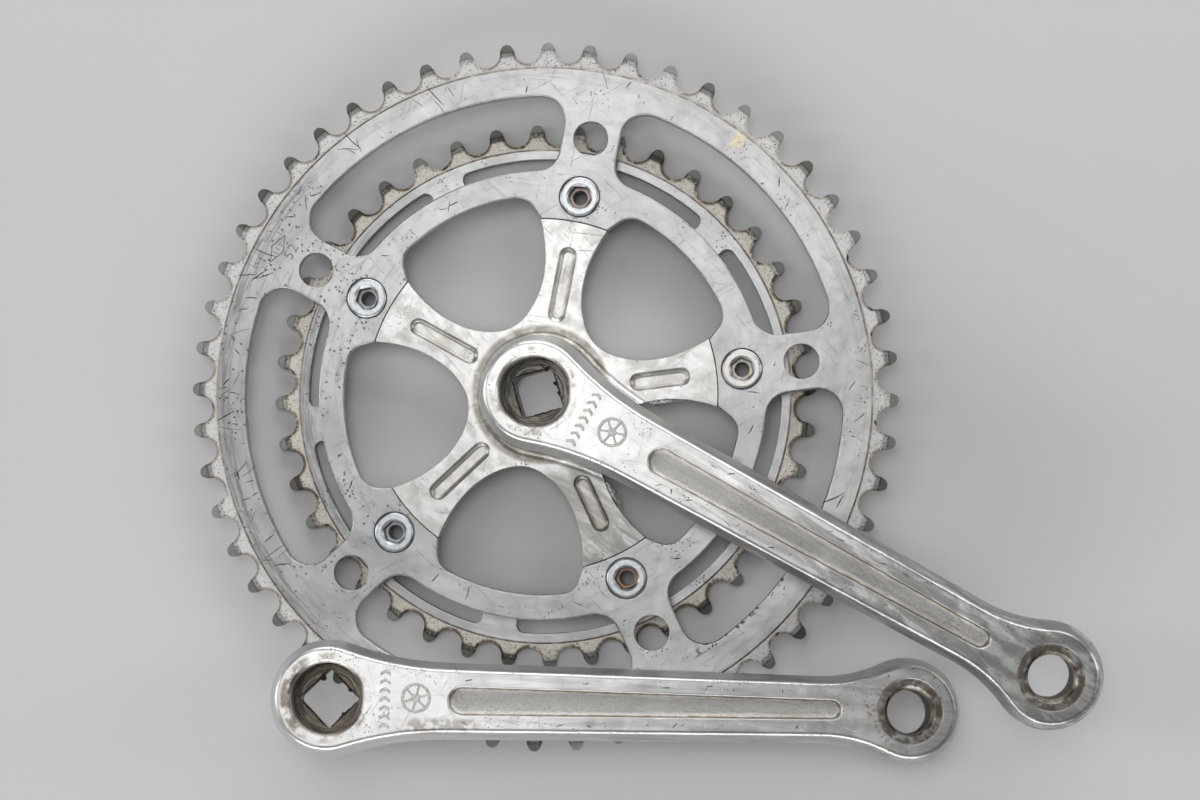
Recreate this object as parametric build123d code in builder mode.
"""Double-ring square-taper crankset: right arm with spider, two chainrings, bolts, loose left arm.

Frame, in millimetres: the origin is on the spindle axis, in the inboard face of the right boss.
+Z runs outboard along the spindle axis, and +X along the right crank arm.  The set lies on the
plane z = 0, inboard side down, and the left arm lies across the lower edge of the big ring.
"""

import os
from math import cos, hypot, pi, radians, sin, sqrt

from build123d import *

# ---- driving dimensions -------------------------------------------------------------------
CRANK_LENGTH = 170.0        # spindle axis to pedal axis
CHAIN_PITCH = 12.7          # half-inch chain
GULLET_RADIUS = 4.2
TIP_HEIGHT = 2.15           # above the pitch circle
TIP_HALF_WIDTH = 1.15
TIP_ROUND = 0.35            # drop from the tip to its corners
TIP_BEVEL = 2.6             # radial length of the bevel on each tooth's faces
TIP_THICKNESS = 0.9
SHOULDER = (1.85, 0.75)     # bow of each flank: half width, height above the pitch circle
GULLET_WRAP = 10.0          # degrees by which a gullet stops short of a half circle
OUTER_TEETH = 52
INNER_TEETH = 40
SPIDER_ARMS = 5
BOLT_CIRCLE_RADIUS = 61.0   # 122 mm bolt circle

RING_THICKNESS = 3.0        # both rings, at the body
TOOTH_THICKNESS = 2.2       # both rings, outside the turned step
TAB_THICKNESS = 3.4         # spider tab between the rings

# ---- heights above the plane that the set lies on -------------------------------------------
TAB_BACK = RING_THICKNESS
TAB_FRONT = TAB_BACK + TAB_THICKNESS
SPIDER_FRONT = TAB_FRONT + RING_THICKNESS
BOSS_FRONT = SPIDER_FRONT + 21.5

# ---- directions -----------------------------------------------------------------------------
ARM_STEP = 360.0 / SPIDER_ARMS
FIRST_ARM = ARM_STEP / 2                  # the crank arm bisects two spider arms
OUTER_TOOTH_PHASE = 0.19
INNER_TOOTH_PHASE = 3.4

# ---- outer ring -----------------------------------------------------------------------------
OUTER_STEP_RADIUS = 99.3
OUTER_WINDOW_RADII = (68.0, 90.8)
SPOKE_WIDTH = 17.4
WINDOW_CORNER = 7.5
SPOKE_HOLE_CIRCLE = 78.95
SPOKE_HOLE_RADIUS = 5.3
BAND_INNER_RADIUS = 60.3
BAND_CORNER = 6.0                         # where a tab runs into the band
RING_EDGE_ROUND = 0.5
JOINT_RADIUS = 53.5                       # where the ring's tabs meet the spider arms
JOINT_HALF_WIDTH = 10.4
TAB_DROP = 2.2                            # how far short of the band's edge each tab starts to flare
TAB_OVERLAP = 3.0                         # how far a tab's outline runs on inside the joint line
TAB_RUN_OUT = 4.0                         # how far its flare runs on under the band

# ---- inner ring -----------------------------------------------------------------------------
INNER_STEP_RADIUS = 75.1
INNER_SLOT_RADII = (65.5, 72.4)
INNER_MID_BRIDGE = 10.6
INNER_BOLT_BRIDGE = 15.0
INNER_BORE_RADIUS = 61.5
INNER_TAB_RADIUS = 9.5                    # rounded tab about each bolt
INNER_TAB_CORNER = 4.0
INNER_SLOT_CORNER = 2.4

# ---- spider -----------------------------------------------------------------------------------
JOINT_GAP = 0.1
HUB_BORE_RADIUS = 14.0                    # inside the boss, which fills it
WAIST = (38.0, 6.2)                       # distance out along the arm, half width there
ROOT = (26.0, 7.6)
WINDOW_FOOT = 22.2                        # innermost point of each spider window
FLUTE_SPAN = (22.2, 45.4)
FLUTE_LIMITS = (21.5, 46.0)
FLUTE_SHORT_START = 27.0                  # on the two arms beside the crank arm
VALLEY_RADIUS = 2.5
FLUTE_WIDTH = 5.4
FLUTE_DEPTH = 1.7
FLUTE_DRAFT = 25.0
FLUTE_ROUND = 1.2                         # along its floor

# ---- crank arm, shared by both sides ------------------------------------------------------------
BOSS_RADIUS = 17.1
EYE_RADIUS = 15.8
ARM_HALF_WIDTHS = (11.65, 9.55)           # at the spindle axis and at the pedal axis
BOSS_BLEND = 95.0
EYE_BLEND = 42.0
PARTING_DEPTH = 8.0                       # forging line below the outboard face
FRONT_DRAFT = 16.0
EDGE_ROUND = 1.5
BACK_CHAMFER = 1.0
EYE_THICKNESS = 14.0
ROOT_THICKNESS = 16.4                     # near the boss
MID_THICKNESS = 15.0
NECK_THICKNESS = 13.6                     # just before the pedal eye
RIGHT_GROOVE_START = 38.9
LEFT_GROOVE_START = 35.4
GROOVE_END = 149.9
GROOVE_HALF_WIDTHS = (4.2, 2.9)
GROOVE_DEPTH = 2.0
GROOVE_DRAFT = 20.0
GROOVE_ROUNDS = (1.4, 0.5)                # along its floor and its rim
EYE_THICK_START = 166.0                   # outward from here the arm keeps the eye's thickness
NECK_POSITION = 148.0
MID_POSITION = 100.0
ROOT_POSITION = 54.0
ROOT_RISE = (9.0, 3.0)                    # run along the arm and drop, where its back leaves the boss
LEFT_BOSS_HEIGHT = 24.0
RIGHT_ROOT_REACH = 26.0                   # where the arm's back leaves the boss or the spider
LEFT_ROOT_REACH = 13.5

# ---- spindle and pedal fittings --------------------------------------------------------------------
EXTRACTOR_RADIUS = 10.6                   # M22 extractor thread, at the crests
EXTRACTOR_DEPTH = 11.0
EXTRACTOR_CHAMFER = 0.6
SQUARE_SIZE = 12.8                        # taper square at its small, outboard end
SQUARE_CORNER = 1.2
TAPER_ANGLE = 2.0
PEDAL_RADIUS = 6.7                        # 9/16 inch pedal thread, at the crests
PEDAL_CHAMFER = 0.8
SPOT_FACE_RADIUS = 9.7
SPOT_FACE_DEPTH = 0.5

# ---- chainring bolts and sleeve nuts -----------------------------------------------------------------
BOLT_HOLE_RADIUS = 5.1
HEAD_SEAT_RADIUS = 6.25
HEAD_SEAT_DEPTH = 1.3
HEAD_RADIUS = 6.0
HEAD_HEIGHT = 1.9
HEAD_ROUND = 0.8
SOCKET_CHAMFER = 0.9
BOLT_SHANK_RADIUS = 3.9
BOLT_LENGTH = 6.2
SOCKET_SIZE = 6.05                        # across the flats, for a 6 mm key
SOCKET_TURNS = (8, 25, 40, 12, 33)        # degrees, as each bolt happened to tighten
SOCKET_DEPTH = 3.4
BOLT_BORE_RADIUS = 2.2
NUT_SLEEVE_RADIUS = 5.0
NUT_BORE_RADIUS = 4.0
NUT_LENGTH = 7.7
NUT_SLOT_WIDTH = 1.6
NUT_SLOT_DEPTH = 0.8

# ---- the loose left arm's resting place ----------------------------------------------------------------
LEFT_BOSS_CENTRE = (-9.07, -106.93, 36.3)  # centre of its outboard face, over the spindle bore
LEFT_HEADING = 27.55                      # degrees from +X, about +Z
LEFT_TILT = 5.6                           # degrees, pedal end down
LEFT_LEAN = 6.0                           # degrees, face leaning in over the rings

FAR = 30.0                                # cutting outlines run at least this far past the metal
HALF_BEVEL = 45.0

os.makedirs("parts", exist_ok=True)


def polar(radius, angle):
    """Point at a radius and an angle in degrees."""
    return (radius * cos(radians(angle)), radius * sin(radians(angle)))


def arm_angles():
    return [FIRST_ARM + ARM_STEP * number for number in range(SPIDER_ARMS)]


def level_edges(edges, face, depth, length, half_width):
    """Edges at a depth under a plane, within a span of its x and a half width of its y."""

    def belongs(edge):
        for share in (0, 0.5, 1):
            spot = face.to_local_coords(edge @ share)
            if abs(spot.Z + depth) > 0.01 or not length[0] < spot.X < length[1] or abs(spot.Y) > half_width:
                return False
        return True

    return edges.filter_by(belongs)


def write(part, name):
    part.label = name
    export_step(part, f"parts/{name}.step")


# ---- toothed blanks -----------------------------------------------------------------------

def tooth_outline(teeth, phase):
    """Face of a sprocket: for each tooth a round gullet, two bowed flanks and a rounded tip."""
    pitch_radius = CHAIN_PITCH / (2 * sin(pi / teeth))
    step = 360.0 / teeth
    gap_across = CHAIN_PITCH / 2
    gap_out = pitch_radius * cos(pi / teeth)
    root = (
        gap_across - GULLET_RADIUS * cos(radians(GULLET_WRAP)),
        gap_out - GULLET_RADIUS * sin(radians(GULLET_WRAP)),
    )
    shoulder = (SHOULDER[0], pitch_radius + SHOULDER[1])
    corner = (TIP_HALF_WIDTH, pitch_radius + TIP_HEIGHT - TIP_ROUND)

    def place(across, out, angle):
        return Vector(out, across).rotate(Axis.Z, angle)

    with BuildSketch() as outline:
        with BuildLine():
            for number in range(teeth):
                middle = phase + step * number
                ThreePointArc(
                    place(-root[0], root[1], middle),
                    place(-shoulder[0], shoulder[1], middle),
                    place(-corner[0], corner[1], middle),
                )
                ThreePointArc(
                    place(-corner[0], corner[1], middle),
                    place(0, pitch_radius + TIP_HEIGHT, middle),
                    place(corner[0], corner[1], middle),
                )
                ThreePointArc(
                    place(corner[0], corner[1], middle),
                    place(shoulder[0], shoulder[1], middle),
                    place(root[0], root[1], middle),
                )
                ThreePointArc(
                    place(root[0], root[1], middle),
                    place(0, pitch_radius - GULLET_RADIUS, middle + step / 2),
                    place(-root[0], root[1], middle + step),
                )
        make_face()
    return outline.sketch


def toothed_blank(teeth, phase, step_radius, back):
    """Solid disc with the ring's turned step, thin tooth zone and bevelled tooth tips."""
    pitch_radius = CHAIN_PITCH / (2 * sin(pi / teeth))
    relief = (RING_THICKNESS - TOOTH_THICKNESS) / 2
    front = back + RING_THICKNESS
    bevel_start = pitch_radius + TIP_HEIGHT - TIP_BEVEL
    bevel = (TOOTH_THICKNESS - TIP_THICKNESS) / 2
    rim = pitch_radius + TIP_HEIGHT + relief / 2
    with BuildPart() as blank:
        with BuildSketch(Plane.XZ):
            with BuildLine():
                Polyline(
                    (0, back),
                    (step_radius, back),
                    (step_radius + relief, back + relief),
                    (bevel_start, back + relief),
                    (rim, back + relief + bevel),
                    (rim, front - relief - bevel),
                    (bevel_start, front - relief),
                    (step_radius + relief, front - relief),
                    (step_radius, front),
                    (0, front),
                    close=True,
                )
            make_face()
        revolve(axis=Axis.Z)
        with BuildSketch(Plane.XY.offset(back)):
            add(tooth_outline(teeth, phase))
        extrude(amount=RING_THICKNESS, mode=Mode.INTERSECT)
    return blank.part


# ---- outer chainring --------------------------------------------------------------------------

with BuildSketch() as ring_windows:
    Circle(OUTER_WINDOW_RADII[1])
    Circle(OUTER_WINDOW_RADII[0], mode=Mode.SUBTRACT)
    with PolarLocations(0, SPIDER_ARMS, start_angle=FIRST_ARM):
        Rectangle(OUTER_STEP_RADIUS, SPOKE_WIDTH, align=(Align.MIN, Align.CENTER), mode=Mode.SUBTRACT)
    fillet(ring_windows.vertices(), WINDOW_CORNER)

# The ring's tabs reach in past the band, and widen into it at about 45 degrees.
TAB_REACH = sqrt(JOINT_RADIUS**2 - JOINT_HALF_WIDTH**2)
TAB_FLARE = BAND_INNER_RADIUS - TAB_DROP - TAB_REACH
TAB_START = TAB_REACH - TAB_OVERLAP
TAB_END = TAB_REACH + TAB_FLARE + TAB_RUN_OUT
TAB_HALF_WIDTHS = (JOINT_HALF_WIDTH - TAB_OVERLAP, JOINT_HALF_WIDTH + TAB_FLARE + TAB_RUN_OUT)

with BuildSketch() as ring_opening:
    Circle(BAND_INNER_RADIUS)
    with PolarLocations(0, SPIDER_ARMS, start_angle=FIRST_ARM):
        Polygon(
            (TAB_START, TAB_HALF_WIDTHS[0]),
            (TAB_START, -TAB_HALF_WIDTHS[0]),
            (TAB_END, -TAB_HALF_WIDTHS[1]),
            (TAB_END, TAB_HALF_WIDTHS[1]),
            align=None,
            mode=Mode.SUBTRACT,
        )
    band_corners = ring_opening.vertices().filter_by(lambda v: Vector(v).length > TAB_END - TAB_RUN_OUT)
    fillet(band_corners, BAND_CORNER)
    Circle(JOINT_RADIUS)

with BuildPart() as outer_chainring:
    add(toothed_blank(OUTER_TEETH, OUTER_TOOTH_PHASE, OUTER_STEP_RADIUS, TAB_FRONT))
    with BuildSketch(Plane.XY.offset(TAB_FRONT)):
        add(ring_windows.sketch)
        add(ring_opening.sketch)
    extrude(amount=RING_THICKNESS, mode=Mode.SUBTRACT)
    band_start = TAB_END - TAB_RUN_OUT
    front_edges = outer_chainring.faces().sort_by(Axis.Z)[-1].inner_wires().edges()
    fillet(front_edges.filter_by(lambda e: Vector(e.center()).length > band_start), RING_EDGE_ROUND)
    with BuildSketch(Plane.XY.offset(TAB_FRONT)):
        with PolarLocations(SPOKE_HOLE_CIRCLE, SPIDER_ARMS, start_angle=FIRST_ARM):
            Circle(SPOKE_HOLE_RADIUS)
        with PolarLocations(BOLT_CIRCLE_RADIUS, SPIDER_ARMS, start_angle=FIRST_ARM):
            Circle(BOLT_HOLE_RADIUS)
    extrude(amount=RING_THICKNESS, mode=Mode.SUBTRACT)
    with BuildSketch(Plane.XY.offset(SPIDER_FRONT)):
        with PolarLocations(BOLT_CIRCLE_RADIUS, SPIDER_ARMS, start_angle=FIRST_ARM):
            Circle(HEAD_SEAT_RADIUS)
    extrude(amount=-HEAD_SEAT_DEPTH, mode=Mode.SUBTRACT)

write(outer_chainring.part, "outer_chainring")

# ---- inner chainring ----------------------------------------------------------------------------

def on_bore(corner):
    return Vector(corner).length > INNER_BORE_RADIUS - 1


with BuildSketch() as inner_opening:
    Circle(INNER_BORE_RADIUS)
    with PolarLocations(BOLT_CIRCLE_RADIUS, SPIDER_ARMS, start_angle=FIRST_ARM):
        Circle(INNER_TAB_RADIUS, mode=Mode.SUBTRACT)
    fillet(inner_opening.vertices().filter_by(on_bore), INNER_TAB_CORNER)

with BuildSketch() as inner_slots:
    Circle(INNER_SLOT_RADII[1])
    Circle(INNER_SLOT_RADII[0], mode=Mode.SUBTRACT)
    with PolarLocations(0, SPIDER_ARMS, start_angle=FIRST_ARM):
        Rectangle(OUTER_STEP_RADIUS, INNER_BOLT_BRIDGE, align=(Align.MIN, Align.CENTER), mode=Mode.SUBTRACT)
    with PolarLocations(0, SPIDER_ARMS, start_angle=FIRST_ARM + ARM_STEP / 2):
        Rectangle(OUTER_STEP_RADIUS, INNER_MID_BRIDGE, align=(Align.MIN, Align.CENTER), mode=Mode.SUBTRACT)
    fillet(inner_slots.vertices(), INNER_SLOT_CORNER)

with BuildPart() as inner_chainring:
    add(toothed_blank(INNER_TEETH, INNER_TOOTH_PHASE, INNER_STEP_RADIUS, 0))
    with BuildSketch():
        add(inner_opening.sketch)
        add(inner_slots.sketch)
        with PolarLocations(BOLT_CIRCLE_RADIUS, SPIDER_ARMS, start_angle=FIRST_ARM):
            Circle(BOLT_HOLE_RADIUS)
    extrude(amount=RING_THICKNESS, mode=Mode.SUBTRACT)
    with BuildSketch():
        with PolarLocations(BOLT_CIRCLE_RADIUS, SPIDER_ARMS, start_angle=FIRST_ARM):
            Circle(HEAD_SEAT_RADIUS)
    extrude(amount=HEAD_SEAT_DEPTH, mode=Mode.SUBTRACT)

write(inner_chainring.part, "inner_chainring")

# ---- chainring bolts and nuts ----------------------------------------------------------------------

for number in range(SPIDER_ARMS):
    middle = polar(BOLT_CIRCLE_RADIUS, FIRST_ARM + ARM_STEP * number)
    seat = Plane(origin=(*middle, SPIDER_FRONT - HEAD_SEAT_DEPTH))

    with BuildPart() as chainring_bolt:
        with BuildSketch(seat):
            Circle(HEAD_RADIUS)
        extrude(amount=HEAD_HEIGHT)
        fillet(chainring_bolt.edges().group_by(Axis.Z)[-1], HEAD_ROUND)
        with BuildSketch(seat):
            Circle(BOLT_SHANK_RADIUS)
        extrude(amount=-BOLT_LENGTH)
        with BuildSketch(seat.offset(HEAD_HEIGHT)):
            Circle(SOCKET_SIZE / 2 + SOCKET_CHAMFER)
        extrude(amount=-SOCKET_CHAMFER, taper=HALF_BEVEL, mode=Mode.SUBTRACT)
        with BuildSketch(seat.offset(HEAD_HEIGHT)):
            RegularPolygon(SOCKET_SIZE / 2, 6, major_radius=False, rotation=SOCKET_TURNS[number])
        extrude(amount=-SOCKET_DEPTH, mode=Mode.SUBTRACT)
        with BuildSketch(seat.offset(HEAD_HEIGHT)):
            Circle(BOLT_BORE_RADIUS)
        extrude(amount=-HEAD_HEIGHT - BOLT_LENGTH, mode=Mode.SUBTRACT)

    with BuildPart() as chainring_nut:
        with BuildSketch(Plane(origin=(*middle, 0))):
            Circle(HEAD_RADIUS)
        extrude(amount=HEAD_SEAT_DEPTH)
        with BuildSketch(Plane(origin=(*middle, 0))):
            Circle(NUT_SLEEVE_RADIUS)
        extrude(amount=NUT_LENGTH)
        with BuildSketch(Plane(origin=(*middle, 0))):
            Circle(NUT_BORE_RADIUS)
        extrude(amount=NUT_LENGTH, mode=Mode.SUBTRACT)
        with BuildSketch(Plane(origin=(*middle, 0))):
            Rectangle(2 * HEAD_RADIUS + 2, NUT_SLOT_WIDTH)
        extrude(amount=NUT_SLOT_DEPTH, mode=Mode.SUBTRACT)

    write(chainring_bolt.part, f"chainring_bolt_{number + 1}")
    write(chainring_nut.part, f"chainring_nut_{number + 1}")

# ---- crank arm, either side ----------------------------------------------------------------------------

def crank_arm(face, boss_height, root_reach, groove_start):
    """One arm under its outboard plane, whose origin is the spindle axis and whose x runs to the pedal."""
    side = Plane(origin=face.origin, x_dir=face.x_dir, z_dir=-face.y_dir)
    parting = face.offset(-PARTING_DEPTH)
    up = Axis(face.origin, face.z_dir)
    with BuildSketch(parting) as outline:
        Circle(BOSS_RADIUS)
        with Locations((CRANK_LENGTH, 0)):
            Circle(EYE_RADIUS)
        Polygon(
            (0, -ARM_HALF_WIDTHS[0]),
            (CRANK_LENGTH, -ARM_HALF_WIDTHS[1]),
            (CRANK_LENGTH, ARM_HALF_WIDTHS[1]),
            (0, ARM_HALF_WIDTHS[0]),
            align=None,
        )
        middle = CRANK_LENGTH / 2
        boss_corners = outline.vertices().filter_by(lambda v: ARM_HALF_WIDTHS[0] < v.X < middle)
        fillet(boss_corners, BOSS_BLEND)
        eye_corners = outline.vertices().filter_by(lambda v: middle < v.X < CRANK_LENGTH - ARM_HALF_WIDTHS[1])
        fillet(eye_corners, EYE_BLEND)

    with BuildPart() as arm:
        extrude(outline.sketch, amount=PARTING_DEPTH, taper=FRONT_DRAFT)
        fillet(arm.faces().sort_by(up)[-1].edges(), EDGE_ROUND)
        extrude(outline.sketch, amount=-(boss_height - PARTING_DEPTH))
        chamfer(arm.faces().sort_by(up)[0].edges(), BACK_CHAMFER)

        # The back rises from the boss to the thin shaft, and drops again a little under the eye.
        floor = -boss_height - 2
        far_end = CRANK_LENGTH + 20
        with BuildSketch(side):
            with BuildLine():
                Spline(
                    (root_reach, floor),
                    (root_reach + ROOT_RISE[0], -ROOT_THICKNESS - ROOT_RISE[1]),
                    (ROOT_POSITION, -ROOT_THICKNESS),
                    (MID_POSITION, -MID_THICKNESS),
                    (NECK_POSITION, -NECK_THICKNESS),
                    (EYE_THICK_START, -EYE_THICKNESS),
                    (far_end, -EYE_THICKNESS),
                )
                Polyline((far_end, -EYE_THICKNESS), (far_end, floor), (root_reach, floor))
            make_face()
        extrude(amount=FAR, both=True, mode=Mode.SUBTRACT)

        # Long groove in the outboard face, wider towards the boss.
        with BuildSketch(face):
            with Locations((groove_start + GROOVE_HALF_WIDTHS[0], 0)):
                Circle(GROOVE_HALF_WIDTHS[0])
            with Locations((GROOVE_END - GROOVE_HALF_WIDTHS[1], 0)):
                Circle(GROOVE_HALF_WIDTHS[1])
            make_hull()
        extrude(amount=-GROOVE_DEPTH, taper=GROOVE_DRAFT, mode=Mode.SUBTRACT)
        span = (groove_start - 1, GROOVE_END + 1)
        half_width = GROOVE_HALF_WIDTHS[0] + 0.1
        fillet(level_edges(arm.edges(), face, GROOVE_DEPTH, span, half_width), GROOVE_ROUNDS[0])
        fillet(level_edges(arm.edges(), face, 0, span, half_width), GROOVE_ROUNDS[1])

        # Extractor thread's well, then the taper square, small end outboard.
        with BuildSketch(face):
            Circle(EXTRACTOR_RADIUS)
        extrude(amount=-EXTRACTOR_DEPTH, mode=Mode.SUBTRACT)
        with BuildSketch(face):
            Circle(EXTRACTOR_RADIUS + EXTRACTOR_CHAMFER)
        extrude(amount=-EXTRACTOR_CHAMFER, taper=HALF_BEVEL, mode=Mode.SUBTRACT)
        with BuildSketch(face.offset(-EXTRACTOR_DEPTH)):
            RectangleRounded(SQUARE_SIZE, SQUARE_SIZE, SQUARE_CORNER, rotation=45)
        extrude(amount=-(boss_height - EXTRACTOR_DEPTH), taper=-TAPER_ANGLE, mode=Mode.SUBTRACT)

        # Pedal thread, chamfered at both ends, in a shallow spot face.
        with BuildSketch(face):
            with Locations((CRANK_LENGTH, 0)):
                Circle(SPOT_FACE_RADIUS)
        extrude(amount=-SPOT_FACE_DEPTH, mode=Mode.SUBTRACT)
        with BuildSketch(face):
            with Locations((CRANK_LENGTH, 0)):
                Circle(PEDAL_RADIUS)
        extrude(amount=-EYE_THICKNESS - 1, mode=Mode.SUBTRACT)
        with BuildSketch(face.offset(-SPOT_FACE_DEPTH)):
            with Locations((CRANK_LENGTH, 0)):
                Circle(PEDAL_RADIUS + PEDAL_CHAMFER)
        extrude(amount=-PEDAL_CHAMFER, taper=HALF_BEVEL, mode=Mode.SUBTRACT)
        with BuildSketch(face.offset(-EYE_THICKNESS)):
            with Locations((CRANK_LENGTH, 0)):
                Circle(PEDAL_RADIUS + PEDAL_CHAMFER)
        extrude(amount=PEDAL_CHAMFER, taper=HALF_BEVEL, mode=Mode.SUBTRACT)
    return arm.part


# ---- right crank arm with its spider ------------------------------------------------------------------

def beside_arm(out, half_width):
    """Point beside the spider arm at half a step, on the side of the window centred on +X."""
    angle = radians(ARM_STEP / 2)
    return (
        out * cos(angle) + half_width * sin(angle),
        out * sin(angle) - half_width * cos(angle),
    )


def mirrored(point):
    return (point[0], -point[1])


with BuildSketch() as spider_window:
    joint = beside_arm(TAB_REACH, JOINT_HALF_WIDTH)
    waist = beside_arm(*WAIST)
    root = beside_arm(*ROOT)
    with BuildLine():
        Spline(joint, waist, root, (WINDOW_FOOT, 0), mirrored(root), mirrored(waist), mirrored(joint))
        Polyline(mirrored(joint), (joint[0] + FAR, -joint[1]), (joint[0] + FAR, joint[1]), joint)
    make_face()

with BuildPart() as right_crank_arm:
    with BuildSketch(Plane.XY.offset(TAB_BACK)):
        Circle(JOINT_RADIUS - JOINT_GAP)
        with PolarLocations(0, SPIDER_ARMS):
            add(spider_window.sketch, mode=Mode.SUBTRACT)
        Circle(HUB_BORE_RADIUS, mode=Mode.SUBTRACT)
    extrude(amount=SPIDER_FRONT - TAB_BACK)
    with BuildSketch(Plane.XY.offset(TAB_BACK)):
        with PolarLocations(BOLT_CIRCLE_RADIUS, SPIDER_ARMS, start_angle=FIRST_ARM):
            Circle(INNER_TAB_RADIUS)
        with PolarLocations(TAB_REACH, SPIDER_ARMS, start_angle=FIRST_ARM):
            Rectangle(
                BOLT_CIRCLE_RADIUS - TAB_REACH,
                2 * INNER_TAB_RADIUS,
                align=(Align.MIN, Align.CENTER),
            )
        with PolarLocations(BOLT_CIRCLE_RADIUS, SPIDER_ARMS, start_angle=FIRST_ARM):
            Circle(BOLT_HOLE_RADIUS, mode=Mode.SUBTRACT)
    extrude(amount=TAB_THICKNESS)
    add(crank_arm(Plane.XY.offset(BOSS_FRONT), BOSS_FRONT, RIGHT_ROOT_REACH, RIGHT_GROOVE_START))

    # Valley round the boss and along the arm's root, where they rise out of the spider.
    root_edges = right_crank_arm.edges().filter_by(
        lambda e: abs((e @ 0.5).Z - SPIDER_FRONT) < 0.01
        and abs((e @ 0).Z - SPIDER_FRONT) < 0.01
        and e.geom_type != GeomType.BSPLINE
        and 2 * EDGE_ROUND < hypot((e @ 0.5).X, (e @ 0.5).Y) < WAIST[0]
    )
    fillet(root_edges, VALLEY_RADIUS)

    # Rounded-end flute in the front of each spider arm, shorter beside the crank arm.
    with BuildSketch(Plane.XY.offset(SPIDER_FRONT)):
        for angle in arm_angles():
            beside_crank = angle in (FIRST_ARM, 360 - FIRST_ARM)
            start = FLUTE_SHORT_START if beside_crank else FLUTE_SPAN[0]
            with PolarLocations((start + FLUTE_SPAN[1]) / 2, 1, start_angle=angle):
                SlotOverall(FLUTE_SPAN[1] - start, FLUTE_WIDTH)
    extrude(amount=-FLUTE_DEPTH, taper=FLUTE_DRAFT, mode=Mode.SUBTRACT)
    for angle in arm_angles():
        front = Plane(origin=(0, 0, SPIDER_FRONT), x_dir=(*polar(1, angle), 0), z_dir=(0, 0, 1))
        half_width = FLUTE_WIDTH / 2 + 0.1
        floor_edges = level_edges(right_crank_arm.edges(), front, FLUTE_DEPTH, FLUTE_LIMITS, half_width)
        fillet(floor_edges, FLUTE_ROUND)

write(right_crank_arm.part, "right_crank_arm")

# ---- loose left crank arm ----------------------------------------------------------------------------------

left_face = Plane(origin=LEFT_BOSS_CENTRE).rotated(
    (LEFT_HEADING, LEFT_TILT, -LEFT_LEAN), ordering=Intrinsic.ZYX
)
left_arm_part = crank_arm(left_face, LEFT_BOSS_HEIGHT, LEFT_ROOT_REACH, LEFT_GROOVE_START)
write(left_arm_part, "left_crank_arm")
